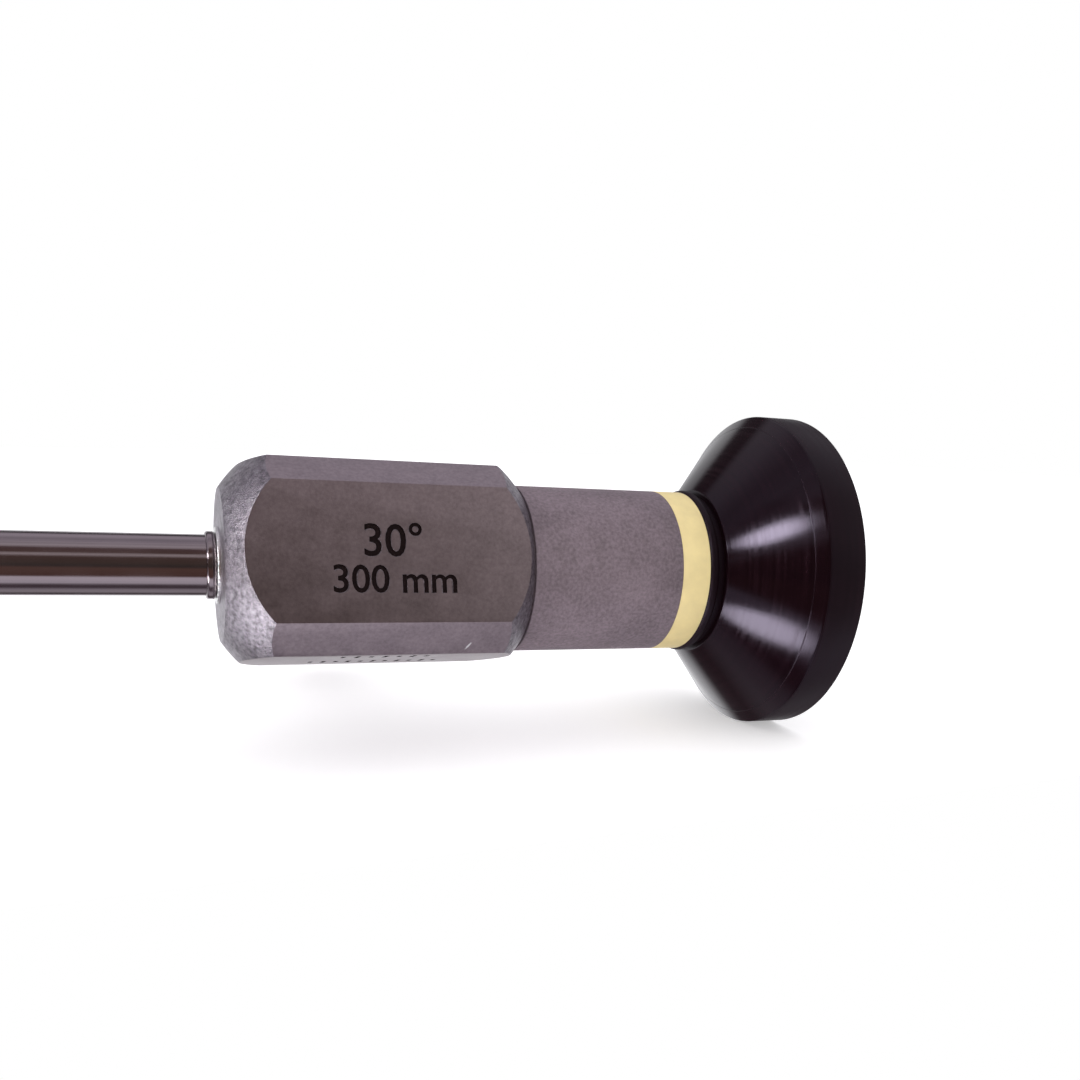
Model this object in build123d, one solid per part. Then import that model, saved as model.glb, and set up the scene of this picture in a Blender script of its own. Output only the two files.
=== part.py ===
from build123d import *
from math import asin, atan2, cos, degrees, hypot, radians, sin, sqrt, tan
import os

# A rigid rod-lens endoscope, in millimetres.
# X is the optical axis: the shaft points to -X and the eyepiece to +X.
# The origin is on that axis at the root of the free shaft.
# The pieces are modelled with the label face towards -Y and the light post
# towards +Y, and the whole instrument is then rolled about X, to lie on a table
# on its eyepiece rim, its light post and its tip.

# Shaft
SHAFT_DIA = 5.4
SHAFT_LENGTH = 300.0
SHEATH_WALL = 0.3
SHEATH_SEAT_STEP = 0.16        # the hidden root of the tube is ground down by this
SHEATH_SEAT_DEPTH = 8.0        # root of the tube inside the housing block
VIEW_ANGLE = 30.0              # the tip looks away from the light post

# Optical tube and lens train
OPTIC_TUBE_DIA = 3.6
OPTIC_TUBE_WALL = 0.2
LENS_CLEARANCE = 0.03          # radial, lens or spacer in its tube
WINDOW_THICKNESS = 0.5
PRISM_BACK = 5.2               # from the extreme tip to the prism's flat back
OBJECTIVE_LENS_THICKNESS = 1.4
OBJECTIVE_GAP = 1.2
APERTURE_DIA = 0.9
APERTURE_PLATE = 0.25
DOUBLET_THICKNESS = 2.6
ROD_COUNT = 7
ROD_LENGTH = 33.0
DOME_RISE = 0.22               # of the polished rod ends
SPACER_WALL = 0.32
BUSH_LENGTH = 2.05              # its rear face carries the field stop

# Collar and boss at the root of the shaft
COLLAR_DIA = 6.0
COLLAR_LENGTH = 0.85
BOSS_DIA = 6.8
BOSS_LENGTH = 0.3

# Housing block: a square bar with flat corner chamfers and turned, crowned ends
BLOCK_LENGTH = 26.9
BLOCK_FLATS = 17.2             # across the flats
FLAT_WIDTH = 12.04             # of each flat, between the corner chamfers
FACE_DIA = 13.7                # sharp edge where the front crown starts
FACE_DISH = 0.05               # that edge lies this far behind the front face
CROWN_RADIUS = 12.5
CROWN_RUNOUT = 0.05            # the crown arcs run this far past the corners
FRONT_CROWN_DEPTH = 3.85
REAR_CROWN_DEPTH = 2.68
CAVITY_DIA = 12.2              # room for the light guide's bend
CAVITY_FRONT_WALL = 7.6
REAR_BORE_DIA = 13.0
REAR_BORE_DEPTH = 5.5

# Rear sleeve and colour ring
SLEEVE_DIA = 16.0
SLEEVE_LENGTH = 15.27
SEAM_WIDTH = 0.2
SEAM_DEPTH = 0.35
RING_WIDTH = 2.95
RING_WALL = 0.9
CUP_SPIGOT_STEP = 0.5          # from the ring's seat down to the eyecup's thread
CUP_SPIGOT_WALL = 1.13          # round the window frame's seat
CUP_SPIGOT_LENGTH = 5.2
FRAME_SHOULDER = 0.47           # that the window frame stands on

# Eyecup
BEAD_WIDTH = 1.05
BEAD_BULGE = 0.2
CUP_GROOVE_WIDTH = 0.62
CUP_GROOVE_DEPTH = 0.3
CONE_STEP = 0.25                # the cone starts this much wider than the sleeve
CONE_LENGTH = 6.51
RIM_DIA = 32.0
RIM_WIDTH = 4.02
RIM_EDGE = 0.25
LIP_WIDTH = 0.9
FUNNEL_LEDGE = 0.73             # of the funnel's floor, round the window frame
FUNNEL_FLOOR_DEPTH = 5.4
FUNNEL_BULGE_RADIUS = 22.0

# Ocular
OCULAR_TUBE_WALL = 0.55
OCULAR_LENS_THICKNESS = 3.0
OCULAR_GAP = 1.6
OCULAR_DISTANCE = 12.5         # field stop to the first ocular lens
STOP_THICKNESS = 0.5
STOP_APERTURE_DIA = 4.2
STOP_NOTCH = 0.45
LOCK_RING_LENGTH = 1.4
EYE_WINDOW_THICKNESS = 1.2
FRAME_WALL = 0.93
FRAME_LENGTH = 3.4
FRAME_STEP = 0.8

# Light post
POST_PLACE = 14.0              # behind the block's front face
POST_SPIGOT_DIA = 8.0
POST_FLANGE_DIA = 10.4
POST_FLANGE_HEIGHT = 1.6
POST_CONE_HEIGHT = 2.6
POST_BODY_DIA = 8.0
POST_BODY_TOP = 24.0           # from the optical axis
POST_THREAD_DIA = 6.6
POST_THREAD_TOP = 30.0
FERRULE_WALL = 0.5
BUNDLE_BEND_RADIUS = 2.6
ADAPTER_GRIP_DIA = 10.0
ADAPTER_GRIP_HEIGHT = 4.6
ADAPTER_GROOVE_DIA = 7.4
ADAPTER_GROOVE_HEIGHT = 2.2
ADAPTER_TIP_DIA = 9.0
ADAPTER_TOP = 38.0
ADAPTER_EDGE = 0.6
INLET_GLASS_DIA = 5.2
INLET_RECESS = 0.6
CUP_SEAL_SECTION = 0.8
POST_SEAL_SECTION = 0.7

# Clearances
FIT = 0.02                     # radial, between pieces that are seated in one another
TOUCHING = 1e-6                # points of an outline this close are one point

# Stations along the axis, from the shaft's root
SHAFT_R = SHAFT_DIA / 2
X_TIP = -SHAFT_LENGTH
X_FACE = COLLAR_LENGTH + BOSS_LENGTH
X_SHEATH_END = X_FACE + SHEATH_SEAT_DEPTH
X_CAVITY = X_FACE + CAVITY_FRONT_WALL
X_SEAM = X_FACE + BLOCK_LENGTH
X_REAR_BORE = X_SEAM - REAR_BORE_DEPTH
X_RING = X_SEAM + SLEEVE_LENGTH
X_CUP = X_RING + RING_WIDTH
X_SPIGOT_END = X_CUP + CUP_SPIGOT_LENGTH
X_CONE = X_CUP + BEAD_WIDTH + CUP_GROOVE_WIDTH
X_RIM = X_CONE + CONE_LENGTH
X_REAR = X_RIM + RIM_WIDTH
X_FUNNEL = X_REAR - FUNNEL_FLOOR_DEPTH
X_STOP = X_REAR_BORE + BUSH_LENGTH
X_POST = X_FACE + POST_PLACE

# Radii shared by mating pieces
SHEATH_BORE_R = SHAFT_R - SHEATH_WALL
SHEATH_SEAT_R = SHAFT_R - SHEATH_SEAT_STEP
OPTIC_R = OPTIC_TUBE_DIA / 2
OPTIC_BORE_R = OPTIC_R - OPTIC_TUBE_WALL
LENS_R = OPTIC_BORE_R - LENS_CLEARANCE
SPACER_BORE_R = LENS_R - SPACER_WALL
SLEEVE_R = SLEEVE_DIA / 2
RING_SEAT_R = SLEEVE_R - RING_WALL
CUP_SPIGOT_R = RING_SEAT_R - CUP_SPIGOT_STEP
FRAME_SEAT_R = CUP_SPIGOT_R - CUP_SPIGOT_WALL
FRAME_R = FRAME_SEAT_R - FIT
EYE_WINDOW_R = FRAME_R - FRAME_WALL - FIT
SLEEVE_BORE_R = FRAME_SEAT_R - FRAME_SHOULDER
OCULAR_TUBE_R = SLEEVE_BORE_R - FIT
OCULAR_BORE_R = OCULAR_TUBE_R - OCULAR_TUBE_WALL
OCULAR_LENS_R = OCULAR_BORE_R - FIT
BUNDLE_OUTER_R = SHEATH_BORE_R - FIT
BUNDLE_INNER_R = OPTIC_R + FIT
BUNDLE_R = sqrt(BUNDLE_OUTER_R**2 - BUNDLE_INNER_R**2)
FERRULE_R = BUNDLE_R + FIT + FERRULE_WALL
BLOCK_R = BLOCK_FLATS / 2

# Stations of the lens train
X_PRISM_BACK = X_TIP + PRISM_BACK
X_APERTURE = X_PRISM_BACK + OBJECTIVE_LENS_THICKNESS + OBJECTIVE_GAP
X_DOUBLET = X_APERTURE + APERTURE_PLATE
X_TRAIN = X_DOUBLET + DOUBLET_THICKNESS
TRAIN_PITCH = (X_STOP - X_TRAIN) / ROD_COUNT
SPACER_LENGTH = TRAIN_PITCH - ROD_LENGTH
X_OCULAR_1 = X_STOP + STOP_THICKNESS + OCULAR_DISTANCE
X_OCULAR_2 = X_OCULAR_1 + OCULAR_LENS_THICKNESS + OCULAR_GAP
X_LOCK_RING = X_OCULAR_2 + OCULAR_LENS_THICKNESS
X_OCULAR_END = X_LOCK_RING + LOCK_RING_LENGTH
X_FRAME = X_FUNNEL - FRAME_LENGTH

# The roll that brings rim, post and tip onto one table
rest_slope = (RIM_DIA / 2 - SHAFT_R) / (X_RIM - X_TIP)
post_drop = RIM_DIA / 2 - (X_RIM - X_POST) * rest_slope
post_reach = hypot(ADAPTER_TOP, ADAPTER_TIP_DIA / 2)
REST_ROLL = degrees(asin(post_drop / post_reach) - atan2(ADAPTER_TIP_DIA / 2, ADAPTER_TOP))


def turned(*outline):
    """Solid of revolution about X from an outline of points, lines and arcs.

    A point is (x, r). An edge, such as an arc, joins its neighbours in the list.
    """
    edges = []
    ends = []
    for item in outline:
        is_edge = isinstance(item, Edge)
        start = item.position_at(0) if is_edge else Vector(*item)
        if ends and (start - ends[-1]).length > TOUCHING:
            edges.append(Line(ends[-1], start))
        if is_edge:
            edges.append(item)
        ends += [start, item.position_at(1) if is_edge else start]
    if (ends[-1] - ends[0]).length > TOUCHING:
        edges.append(Line(ends[-1], ends[0]))
    return revolve(make_face(edges), axis=Axis.X)


def tube(x0, x1, outer_r, inner_r=0.0):
    """Plain round bar, washer or tube along X."""
    return turned((x0, inner_r), (x1, inner_r), (x1, outer_r), (x0, outer_r))


def bulge(start, end, radius):
    """Arc from start to end, bulging away from the axis when drawn towards +X."""
    return RadiusArc(start, end, radius, short_sagitta=True)


def upright(piece):
    """Piece turned about X, moved from the optical axis onto the light post's axis."""
    return Pos(X_POST, 0, 0) * Rot(0, 0, 90) * piece


def tip_cut():
    """All that lies in front of the bevelled tip, whose normal is the view direction."""
    view = Vector(-cos(radians(VIEW_ANGLE)), -sin(radians(VIEW_ANGLE)), 0)
    face = Plane(origin=(X_TIP, SHAFT_R, 0), x_dir=(0, 0, 1), z_dir=view)
    return extrude(face * Rectangle(8 * SHAFT_DIA, 8 * SHAFT_DIA), 4 * SHAFT_DIA)


def tip_slab(depth, radius, back):
    """Bore-filling glass from a plane parallel to the tip to a flat back across X."""
    view = Vector(-cos(radians(VIEW_ANGLE)), -sin(radians(VIEW_ANGLE)), 0)
    bar = tube(X_TIP, back, radius)
    return bar - Pos(*(view * -depth)) * tip_cut()


# ---------------------------------------------------------------- shaft

def outer_sheath_tube():
    outline = (
        (X_TIP, SHEATH_BORE_R),
        (X_TIP, SHAFT_R),
        (0, SHAFT_R),
        (0, SHEATH_SEAT_R),
        (X_SHEATH_END, SHEATH_SEAT_R),
        (X_SHEATH_END, SHEATH_BORE_R),
    )
    return turned(*outline) - tip_cut()


def optic_tube():
    return tube(X_TIP, X_STOP, OPTIC_R, OPTIC_BORE_R) - tip_cut()


def light_guide_bundle():
    """Fibres in a ring along the shaft, gathered to a round tail in the light post."""
    ring = tube(X_TIP, X_SHEATH_END, BUNDLE_OUTER_R, BUNDLE_INNER_R) - tip_cut()
    side = BUNDLE_INNER_R + FIT + BUNDLE_R
    bend_x = X_POST - BUNDLE_BEND_RADIUS
    gather = loft([
        Plane.YZ.offset(X_SHEATH_END) * Circle(BUNDLE_OUTER_R),
        Plane.YZ.offset(bend_x) * Pos(side, 0) * Circle(BUNDLE_R),
    ])
    bend_end = (X_POST, side + BUNDLE_BEND_RADIUS)
    route = Wire([
        RadiusArc((bend_x, side), bend_end, -BUNDLE_BEND_RADIUS),
        Line(bend_end, (X_POST, POST_THREAD_TOP)),
    ])
    tail = sweep(Plane.YZ.offset(bend_x) * Pos(side, 0) * Circle(BUNDLE_R), path=route)
    core = tube(X_SHEATH_END, X_POST + 4 * BUNDLE_R, BUNDLE_INNER_R)
    return ring + (gather + tail - core)


def shaft_collar():
    edge = COLLAR_LENGTH * 0.3
    blank = tube(0, COLLAR_LENGTH, COLLAR_DIA / 2, SHEATH_SEAT_R + FIT)
    outer = blank.edges().filter_by(GeomType.CIRCLE).sort_by(lambda e: e.radius)[-2:]
    return fillet(outer, edge * 0.95)


# ---------------------------------------------------------------- lens train

def distal_window():
    return tip_slab(0, LENS_R, X_PRISM_BACK) & tip_slab_front(WINDOW_THICKNESS)


def tip_slab_front(depth):
    """All that lies in front of a plane this deep behind the bevelled tip."""
    view = Vector(-cos(radians(VIEW_ANGLE)), -sin(radians(VIEW_ANGLE)), 0)
    return Pos(*(view * -depth)) * tip_cut()


def deflecting_prism():
    return tip_slab(WINDOW_THICKNESS, LENS_R, X_PRISM_BACK)


def lens(x0, x1, radius, front_rise, rear_rise, land):
    """Glass between two stations, with domed or hollow ends inside flat seating lands."""
    clear = radius - land
    front = (x0 - front_rise, 0)
    rear = (x1 + rear_rise, 0)
    outline = [front]
    if front_rise:
        bow = (clear**2 + front_rise**2) / (2 * front_rise)
        outline.append(RadiusArc(front, (x0, clear), bow))
    outline += [(x0, radius), (x1, radius), (x1, clear)]
    if rear_rise:
        bow = (clear**2 + rear_rise**2) / (2 * rear_rise)
        outline.append(RadiusArc((x1, clear), rear, bow))
    outline.append(rear)
    return turned(*outline)


def objective_lens():
    end = X_PRISM_BACK + OBJECTIVE_LENS_THICKNESS
    return lens(X_PRISM_BACK, end, LENS_R, 0, DOME_RISE, SPACER_WALL)


def objective_spacer():
    start = X_PRISM_BACK + OBJECTIVE_LENS_THICKNESS
    return tube(start, X_APERTURE, LENS_R, SPACER_BORE_R)


def aperture_plate():
    return tube(X_APERTURE, X_DOUBLET, LENS_R, APERTURE_DIA / 2)


def objective_doublet():
    return lens(X_DOUBLET, X_TRAIN, LENS_R, 0, DOME_RISE, SPACER_WALL)


def spacer_tube(number):
    start = X_TRAIN + (number - 1) * TRAIN_PITCH
    return tube(start, start + SPACER_LENGTH, LENS_R, SPACER_BORE_R)


def rod_lens(number):
    start = X_TRAIN + (number - 1) * TRAIN_PITCH + SPACER_LENGTH
    rear_rise = 0 if number == ROD_COUNT else DOME_RISE
    return lens(start, start + ROD_LENGTH, LENS_R, DOME_RISE, rear_rise, SPACER_WALL)


# ---------------------------------------------------------------- housing

def housing_block():
    """Octagonal bar whose two ends are turned to a crown, so each flat ends in an arc."""
    corner_r = hypot(BLOCK_R, FLAT_WIDTH / 2) + CROWN_RUNOUT
    flat = FLAT_WIDTH / 2
    corners = [
        (BLOCK_R, -flat), (BLOCK_R, flat), (flat, BLOCK_R), (-flat, BLOCK_R),
        (-BLOCK_R, flat), (-BLOCK_R, -flat), (-flat, -BLOCK_R), (flat, -BLOCK_R),
    ]
    bar = extrude(Plane.YZ * make_face(Polyline(*corners, close=True)), X_SEAM)
    blank = turned(
        (X_FACE - BOSS_LENGTH, 0),
        (X_FACE - BOSS_LENGTH, BOSS_DIA / 2 - BOSS_LENGTH / 2),
        (X_FACE - BOSS_LENGTH / 2, BOSS_DIA / 2),
        (X_FACE, BOSS_DIA / 2),
        bulge((X_FACE + FACE_DISH, FACE_DIA / 2),
              (X_FACE + FRONT_CROWN_DEPTH, corner_r), CROWN_RADIUS),
        bulge((X_SEAM - REAR_CROWN_DEPTH, corner_r),
              (X_SEAM, SLEEVE_R), CROWN_RADIUS),
        (X_SEAM, 0),
    )
    bores = turned(
        (0, 0),
        (0, SHEATH_SEAT_R + FIT),
        (X_CAVITY, SHEATH_SEAT_R + FIT),
        (X_CAVITY, CAVITY_DIA / 2),
        (X_REAR_BORE, CAVITY_DIA / 2),
        (X_REAR_BORE, REAR_BORE_DIA / 2),
        (X_SEAM, REAR_BORE_DIA / 2),
        (X_SEAM, 0),
    )
    post_bore = upright(tube(CAVITY_DIA / 2 - POST_SPIGOT_DIA / 4, BLOCK_R,
                             POST_SPIGOT_DIA / 2 + FIT))
    return (bar & blank) - bores - post_bore


def rear_sleeve():
    return turned(
        (X_REAR_BORE, SLEEVE_BORE_R),
        (X_REAR_BORE, REAR_BORE_DIA / 2 - FIT),
        (X_SEAM, REAR_BORE_DIA / 2 - FIT),
        (X_SEAM, SLEEVE_R - SEAM_DEPTH),
        (X_SEAM + SEAM_WIDTH, SLEEVE_R - SEAM_DEPTH),
        (X_SEAM + SEAM_WIDTH, SLEEVE_R),
        (X_RING, SLEEVE_R),
        (X_RING, RING_SEAT_R),
        (X_CUP, RING_SEAT_R),
        (X_CUP, CUP_SPIGOT_R),
        (X_SPIGOT_END, CUP_SPIGOT_R),
        (X_SPIGOT_END, FRAME_SEAT_R),
        (X_FRAME, FRAME_SEAT_R),
        (X_FRAME, SLEEVE_BORE_R),
    )


def optic_tube_bush():
    """Centres the rear end of the optical tube and carries it in the sleeve."""
    return tube(X_REAR_BORE, X_STOP, SLEEVE_BORE_R - FIT, OPTIC_R + FIT)


def colour_ring():
    return tube(X_RING, X_CUP, SLEEVE_R, RING_SEAT_R + FIT)


# ---------------------------------------------------------------- eyepiece

def eyecup():
    """Beaded hub, straight cone, plain rim and a dished funnel behind."""
    funnel_r = RIM_DIA / 2 - RIM_EDGE - LIP_WIDTH
    seal_end = X_SPIGOT_END + CUP_SEAL_SECTION
    return turned(
        (X_CUP, CUP_SPIGOT_R + FIT),
        ThreePointArc((X_CUP, SLEEVE_R - BEAD_BULGE),
                      (X_CUP + BEAD_WIDTH / 2, SLEEVE_R + BEAD_BULGE),
                      (X_CUP + BEAD_WIDTH, SLEEVE_R - BEAD_BULGE)),
        (X_CUP + BEAD_WIDTH, SLEEVE_R - CUP_GROOVE_DEPTH),
        (X_CONE, SLEEVE_R - CUP_GROOVE_DEPTH),
        (X_CONE, SLEEVE_R + CONE_STEP),
        (X_RIM, RIM_DIA / 2),
        (X_REAR - RIM_EDGE, RIM_DIA / 2),
        (X_REAR, RIM_DIA / 2 - RIM_EDGE),
        (X_REAR, funnel_r),
        RadiusArc((X_REAR, funnel_r), (X_FUNNEL, FRAME_SEAT_R + FUNNEL_LEDGE), FUNNEL_BULGE_RADIUS),
        (X_FUNNEL, FRAME_SEAT_R),
        (seal_end, FRAME_SEAT_R),
        (seal_end, CUP_SPIGOT_R + FIT),
    )


def eyecup_seal():
    """Ring seal between the sleeve's end and the eyecup, squeezed to their step."""
    inner = FRAME_SEAT_R + FIT
    outer = CUP_SPIGOT_R
    return tube(X_SPIGOT_END, X_SPIGOT_END + CUP_SEAL_SECTION, outer, inner)


def ocular_tube():
    return tube(X_STOP, X_OCULAR_END, OCULAR_TUBE_R, OCULAR_BORE_R)


def field_stop():
    """Image mask with the notch that marks which way the tip looks."""
    plate = tube(X_STOP, X_STOP + STOP_THICKNESS, OCULAR_LENS_R, STOP_APERTURE_DIA / 2)
    notch = Pos(X_STOP + STOP_THICKNESS / 2, -STOP_APERTURE_DIA / 2, 0) * Rot(0, 0, 45)
    side = STOP_NOTCH * sqrt(2)
    return plate - notch * Rot(45, 0, 0) * Box(4 * STOP_THICKNESS, side, side)


def ocular_spacer_front():
    return tube(X_STOP + STOP_THICKNESS, X_OCULAR_1, OCULAR_LENS_R,
                OCULAR_LENS_R - OCULAR_TUBE_WALL)


def ocular_lens_front():
    return lens(X_OCULAR_1, X_OCULAR_1 + OCULAR_LENS_THICKNESS, OCULAR_LENS_R,
                0, 2 * DOME_RISE, OCULAR_TUBE_WALL)


def ocular_spacer_rear():
    return tube(X_OCULAR_1 + OCULAR_LENS_THICKNESS, X_OCULAR_2, OCULAR_LENS_R,
                OCULAR_LENS_R - OCULAR_TUBE_WALL)


def ocular_lens_rear():
    return lens(X_OCULAR_2, X_LOCK_RING, OCULAR_LENS_R,
                2 * DOME_RISE, 0, OCULAR_TUBE_WALL)


def ocular_lock_ring():
    return tube(X_LOCK_RING, X_OCULAR_END, OCULAR_LENS_R,
                OCULAR_LENS_R - OCULAR_TUBE_WALL)


def eyepiece_window():
    return tube(X_FUNNEL - FRAME_STEP - EYE_WINDOW_THICKNESS, X_FUNNEL - FRAME_STEP,
                EYE_WINDOW_R)


def window_frame():
    """Stepped ring that holds the rear window against a shoulder."""
    seat = X_FUNNEL - FRAME_STEP - EYE_WINDOW_THICKNESS
    return turned(
        (X_FRAME, EYE_WINDOW_R - FRAME_STEP),
        (X_FRAME, FRAME_R),
        (X_FUNNEL, FRAME_R),
        (X_FUNNEL, EYE_WINDOW_R + FIT),
        (seat, EYE_WINDOW_R + FIT),
        (seat, EYE_WINDOW_R - FRAME_STEP),
    )


# ---------------------------------------------------------------- light post

def light_post():
    """Turned post with a seating flange, a plain body and a thread for the adapter."""
    bore = FERRULE_R + FIT
    foot = CAVITY_DIA / 2
    flange_top = BLOCK_R + POST_FLANGE_HEIGHT
    return upright(turned(
        (foot, bore),
        (foot, POST_SPIGOT_DIA / 2),
        (BLOCK_R, POST_SPIGOT_DIA / 2),
        (BLOCK_R, POST_FLANGE_DIA / 2),
        (flange_top, POST_FLANGE_DIA / 2),
        (flange_top + POST_CONE_HEIGHT, POST_BODY_DIA / 2),
        (POST_BODY_TOP, POST_BODY_DIA / 2),
        (POST_BODY_TOP, POST_THREAD_DIA / 2),
        (POST_THREAD_TOP, POST_THREAD_DIA / 2),
        (POST_THREAD_TOP, bore),
    ))


def light_guide_ferrule():
    """Steel sleeve that the fibre tail is glued into."""
    foot = BUNDLE_INNER_R + FIT + BUNDLE_R + BUNDLE_BEND_RADIUS
    return upright(tube(foot, POST_THREAD_TOP, FERRULE_R, BUNDLE_R + FIT))


def post_seal():
    """Ring seal round the thread's root, under the adapter's grip."""
    return upright(tube(POST_BODY_TOP, POST_BODY_TOP + POST_SEAL_SECTION,
                        POST_THREAD_DIA / 2 + POST_SEAL_SECTION, POST_THREAD_DIA / 2))


def light_cable_adapter():
    """Screw-on tip with a finger grip and the groove that the light cable snaps into."""
    grip_top = POST_BODY_TOP + ADAPTER_GRIP_HEIGHT
    groove_top = grip_top + ADAPTER_GROOVE_HEIGHT
    seal_r = POST_THREAD_DIA / 2 + POST_SEAL_SECTION + FIT
    seal_top = POST_BODY_TOP + POST_SEAL_SECTION
    return upright(turned(
        (POST_BODY_TOP, seal_r),
        (POST_BODY_TOP, ADAPTER_GRIP_DIA / 2 - ADAPTER_EDGE),
        (POST_BODY_TOP + ADAPTER_EDGE, ADAPTER_GRIP_DIA / 2),
        (grip_top - ADAPTER_EDGE, ADAPTER_GRIP_DIA / 2),
        (grip_top, ADAPTER_GROOVE_DIA / 2),
        (groove_top, ADAPTER_GROOVE_DIA / 2),
        (groove_top + ADAPTER_EDGE, ADAPTER_TIP_DIA / 2),
        (ADAPTER_TOP - ADAPTER_EDGE / 2, ADAPTER_TIP_DIA / 2),
        (ADAPTER_TOP, ADAPTER_TIP_DIA / 2 - ADAPTER_EDGE / 2),
        (ADAPTER_TOP, INLET_GLASS_DIA / 2 + FIT),
        (POST_THREAD_TOP, INLET_GLASS_DIA / 2 + FIT),
        (POST_THREAD_TOP, POST_THREAD_DIA / 2 + FIT),
        (seal_top, POST_THREAD_DIA / 2 + FIT),
        (seal_top, seal_r),
    ))


def light_inlet_glass():
    """Tapered glass rod that feeds the cable's light into the fibre tail."""
    top = ADAPTER_TOP - INLET_RECESS
    return upright(turned(
        (POST_THREAD_TOP, 0),
        (POST_THREAD_TOP, BUNDLE_R),
        (top - INLET_RECESS, INLET_GLASS_DIA / 2),
        (top, INLET_GLASS_DIA / 2),
        (top, 0),
    ))


pieces = {
    "outer_sheath_tube": outer_sheath_tube(),
    "optic_tube": optic_tube(),
    "light_guide_bundle": light_guide_bundle(),
    "shaft_collar": shaft_collar(),
    "distal_window": distal_window(),
    "deflecting_prism": deflecting_prism(),
    "objective_lens": objective_lens(),
    "objective_spacer": objective_spacer(),
    "aperture_plate": aperture_plate(),
    "objective_doublet": objective_doublet(),
    "housing_block": housing_block(),
    "rear_sleeve": rear_sleeve(),
    "optic_tube_bush": optic_tube_bush(),
    "colour_ring": colour_ring(),
    "eyecup": eyecup(),
    "eyecup_seal": eyecup_seal(),
    "ocular_tube": ocular_tube(),
    "field_stop": field_stop(),
    "ocular_spacer_front": ocular_spacer_front(),
    "ocular_lens_front": ocular_lens_front(),
    "ocular_spacer_rear": ocular_spacer_rear(),
    "ocular_lens_rear": ocular_lens_rear(),
    "ocular_lock_ring": ocular_lock_ring(),
    "window_frame": window_frame(),
    "eyepiece_window": eyepiece_window(),
    "light_post": light_post(),
    "light_guide_ferrule": light_guide_ferrule(),
    "post_seal": post_seal(),
    "light_cable_adapter": light_cable_adapter(),
    "light_inlet_glass": light_inlet_glass(),
}
for number in range(1, ROD_COUNT + 1):
    pieces[f"spacer_tube_{number}"] = spacer_tube(number)
    pieces[f"rod_lens_{number}"] = rod_lens(number)

os.makedirs("parts", exist_ok=True)
for name, piece in pieces.items():
    export_step(Rot(-REST_ROLL, 0, 0) * piece, f"parts/{name}.step")
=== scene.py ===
from collections import namedtuple
from math import asin, atan2, cos, hypot, pi, radians, sin, sqrt, tau

import bmesh
import bpy
from bpy.props import FloatProperty, FloatVectorProperty, IntProperty, PointerProperty
from mathutils import Matrix, Vector


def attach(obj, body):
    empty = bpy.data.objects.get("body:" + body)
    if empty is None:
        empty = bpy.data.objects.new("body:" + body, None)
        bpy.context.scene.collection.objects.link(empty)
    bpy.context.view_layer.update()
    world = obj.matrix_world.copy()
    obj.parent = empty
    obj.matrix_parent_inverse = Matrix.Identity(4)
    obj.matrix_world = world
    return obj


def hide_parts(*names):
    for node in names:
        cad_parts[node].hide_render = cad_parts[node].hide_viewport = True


bl_info = {
    "name": "Rigid endoscope",
    "version": (1, 0, 0),
    "blender": (4, 5, 0),
    "location": "3D View > Sidebar > Endoscope",
    "description": "Dresses a rigid rod-lens endoscope and sets a white stage for it",
    "category": "Object",
}

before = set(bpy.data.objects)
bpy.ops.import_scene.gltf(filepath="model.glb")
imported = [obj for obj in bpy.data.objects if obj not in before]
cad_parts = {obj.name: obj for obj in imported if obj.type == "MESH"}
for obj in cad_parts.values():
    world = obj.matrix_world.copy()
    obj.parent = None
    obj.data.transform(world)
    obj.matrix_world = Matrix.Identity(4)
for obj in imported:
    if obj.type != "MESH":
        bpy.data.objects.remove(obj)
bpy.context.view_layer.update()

# Stations along the optical axis and radii, in millimetres, as the solids have them.
MM = 0.001
VIEW_ANGLE = 30.0
ROLL = 15.554942               # the instrument lies rolled about X on its light post
SHAFT_R = 2.7
SHEATH_BORE_R = 2.4
SHEATH_SEAT_R = 2.54
FIT = 0.02
X_TIP = -300.0
X_BOSS = 0.85
X_FACE = 1.15
X_SHEATH_END = 9.15
X_CAVITY = 8.75
X_POST = 15.15
X_REAR_BORE = 22.55
X_SEAM = 28.05
X_RING = 43.32
X_CUP = 46.27
X_BEAD_END = 47.32
X_CONE = 47.94
X_FRAME = 49.67
X_SPIGOT_END = 51.47
X_SEAL_END = 52.27
X_FUNNEL = 53.07
X_SCORE = 53.50                 # the faint turned line on the cone
X_RIM = 54.45
X_REAR = 58.47
BLOCK_R = 8.6
FLAT_WIDTH = 12.04
CROWN_BOW = 12.5
CORNER_R = hypot(BLOCK_R, FLAT_WIDTH / 2) + 0.05
CAVITY_R = 6.1
REAR_BORE_R = 6.5
SLEEVE_R = 8.0
SLEEVE_BORE_R = 5.0
RING_SEAT_R = 7.1
SPIGOT_R = 6.6
FRAME_SEAT_R = 5.47
FRAME_R = 5.45
WINDOW_R = 4.5
RIM_R = 16.0
POST_FOOT = 6.1
POST_BORE_R = 2.11
POST_BODY = 24.0
POST_TOP = 30.0
ADAPTER_TOP = 38.0
COLLAR_R = 3.0
BOSS_R = 3.4
FACE_R = 6.85
FACE_DISH = 0.05
CROWN_FRONT = 3.85              # lengths of the two crowns along the axis
CROWN_REAR = 2.68
SEAM_WIDTH = 0.2
SEAM_DEPTH = 0.35
BEAD_DEPTH = 0.2
BEAD_BOW = 0.5445
GROOVE_DEPTH = 0.3
HUB_R = 8.25
FUNNEL_R = 6.2
FUNNEL_MOUTH_R = 14.85
FUNNEL_BOW = 22.0
WINDOW_LIP = 0.8
WINDOW_THICK = 1.2
WINDOW_SEAT = 2.0
SOCKET_R = 4.02
POST_R = 4.0
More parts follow.
